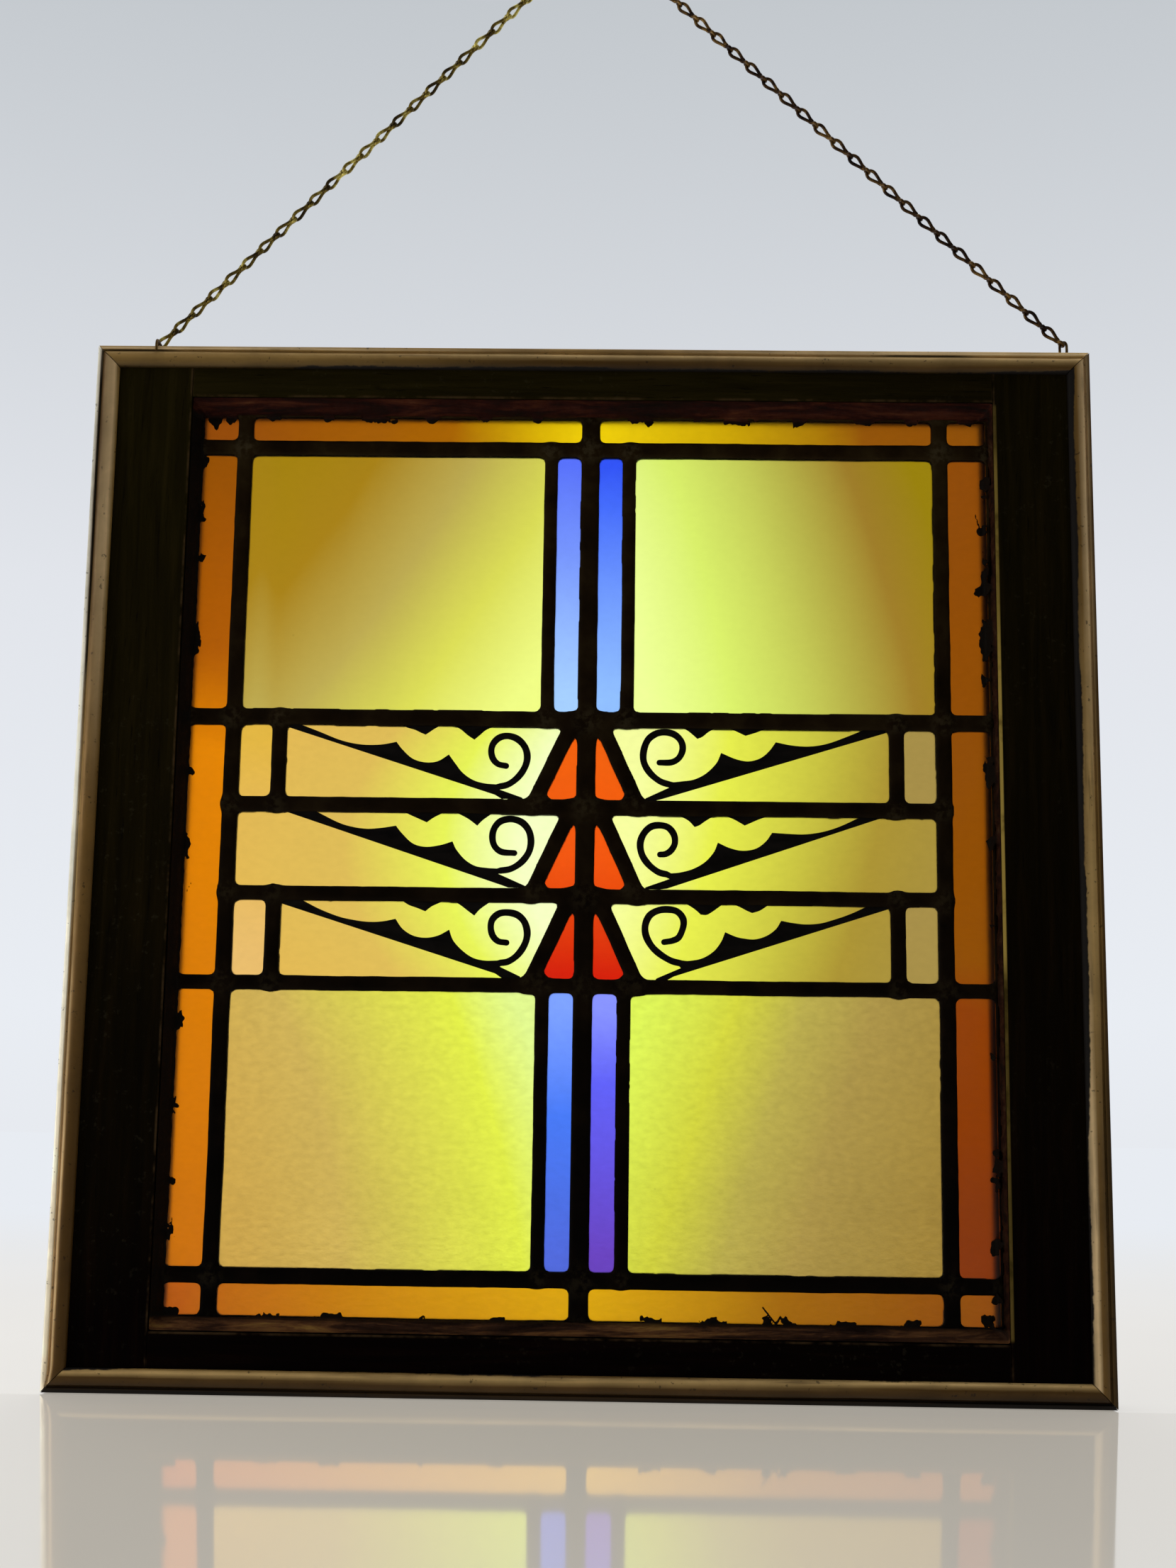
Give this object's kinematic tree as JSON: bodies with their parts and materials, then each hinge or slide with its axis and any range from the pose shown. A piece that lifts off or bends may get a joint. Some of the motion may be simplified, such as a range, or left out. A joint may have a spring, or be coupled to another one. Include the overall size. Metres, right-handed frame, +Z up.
{
  "type": "stained glass window",
  "caption": "Square leaded glass panel with amber border, yellow panes and scroll-painted centre bands, in a dark sash with metal edge trim, hung by a brass chain.",
  "frame": {"origin": "inside top of the hanging ring, where a hook carries the panel", "axes": "+Z up, the front of the panel faces -Y, +X to the right seen from the front"},
  "size_m": [0.442, 0.0255, 0.6671],
  "materials": {
    "painted_wood": "dark brown-black paint on wood, satin, worn",
    "trim_metal": "tarnished, pewter-brown, worn bright on the bead",
    "lead_came": "dark oxidised lead with soldered joints",
    "putty": "hardened blackened glazing putty, uneven",
    "chain_brass": "aged brass wire",
    "glass_amber": "translucent amber",
    "glass_orange": "translucent dark orange-brown",
    "glass_straw": "translucent straw yellow, slightly rippled",
    "glass_tan": "translucent pale tan, some pieces painted in black",
    "glass_blue": "translucent mid blue",
    "glass_purple": "translucent violet",
    "glass_red": "translucent orange-red"
  },
  "bodies": {
    "root": {"chain_left": "chain_brass", "chain_right": "chain_brass", "glass_bottom_corner_left": "glass_amber", "glass_bottom_corner_right": "glass_amber", "glass_bottom_row_left": "glass_amber", "glass_bottom_row_right": "glass_amber", "glass_centre_lower_left": "glass_blue", "glass_centre_lower_right": "glass_purple", "glass_centre_upper_left": "glass_blue", "glass_centre_upper_right": "glass_blue", "glass_pane_lower_left": "glass_straw", "glass_pane_lower_right": "glass_straw", "glass_pane_upper_left": "glass_straw", "glass_pane_upper_right": "glass_straw", "glass_red_1_left": "glass_red", "glass_red_1_right": "glass_red", "glass_red_2_left": "glass_red", "glass_red_2_right": "glass_red", "glass_red_3_left": "glass_red", "glass_red_3_right": "glass_red", "glass_scroll_1_left": "glass_tan", "glass_scroll_1_right": "glass_tan", "glass_scroll_2_left": "glass_tan", "glass_scroll_2_right": "glass_tan", "glass_scroll_3_left": "glass_tan", "glass_scroll_3_right": "glass_tan", "glass_side_lower_left": "glass_amber", "glass_side_lower_right": "glass_orange", "glass_side_middle_left": "glass_amber", "glass_side_middle_right": "glass_orange", "glass_side_upper_left": "glass_amber", "glass_side_upper_right": "glass_orange", "glass_small_1_left": "glass_tan", "glass_small_1_right": "glass_tan", "glass_small_3_left": "glass_tan", "glass_small_3_right": "glass_tan", "glass_top_corner_left": "glass_amber", "glass_top_corner_right": "glass_amber", "glass_top_row_left": "glass_amber", "glass_top_row_right": "glass_amber", "hanging_ring": "chain_brass", "leadwork": "lead_came", "putty": "putty", "rail_bottom": "painted_wood", "rail_top": "painted_wood", "staple_left": "chain_brass", "staple_right": "chain_brass", "stile_left": "painted_wood", "stile_right": "painted_wood", "trim_bottom": "trim_metal", "trim_left": "trim_metal", "trim_right": "trim_metal", "trim_top": "trim_metal"}
  },
  "joints": []
}
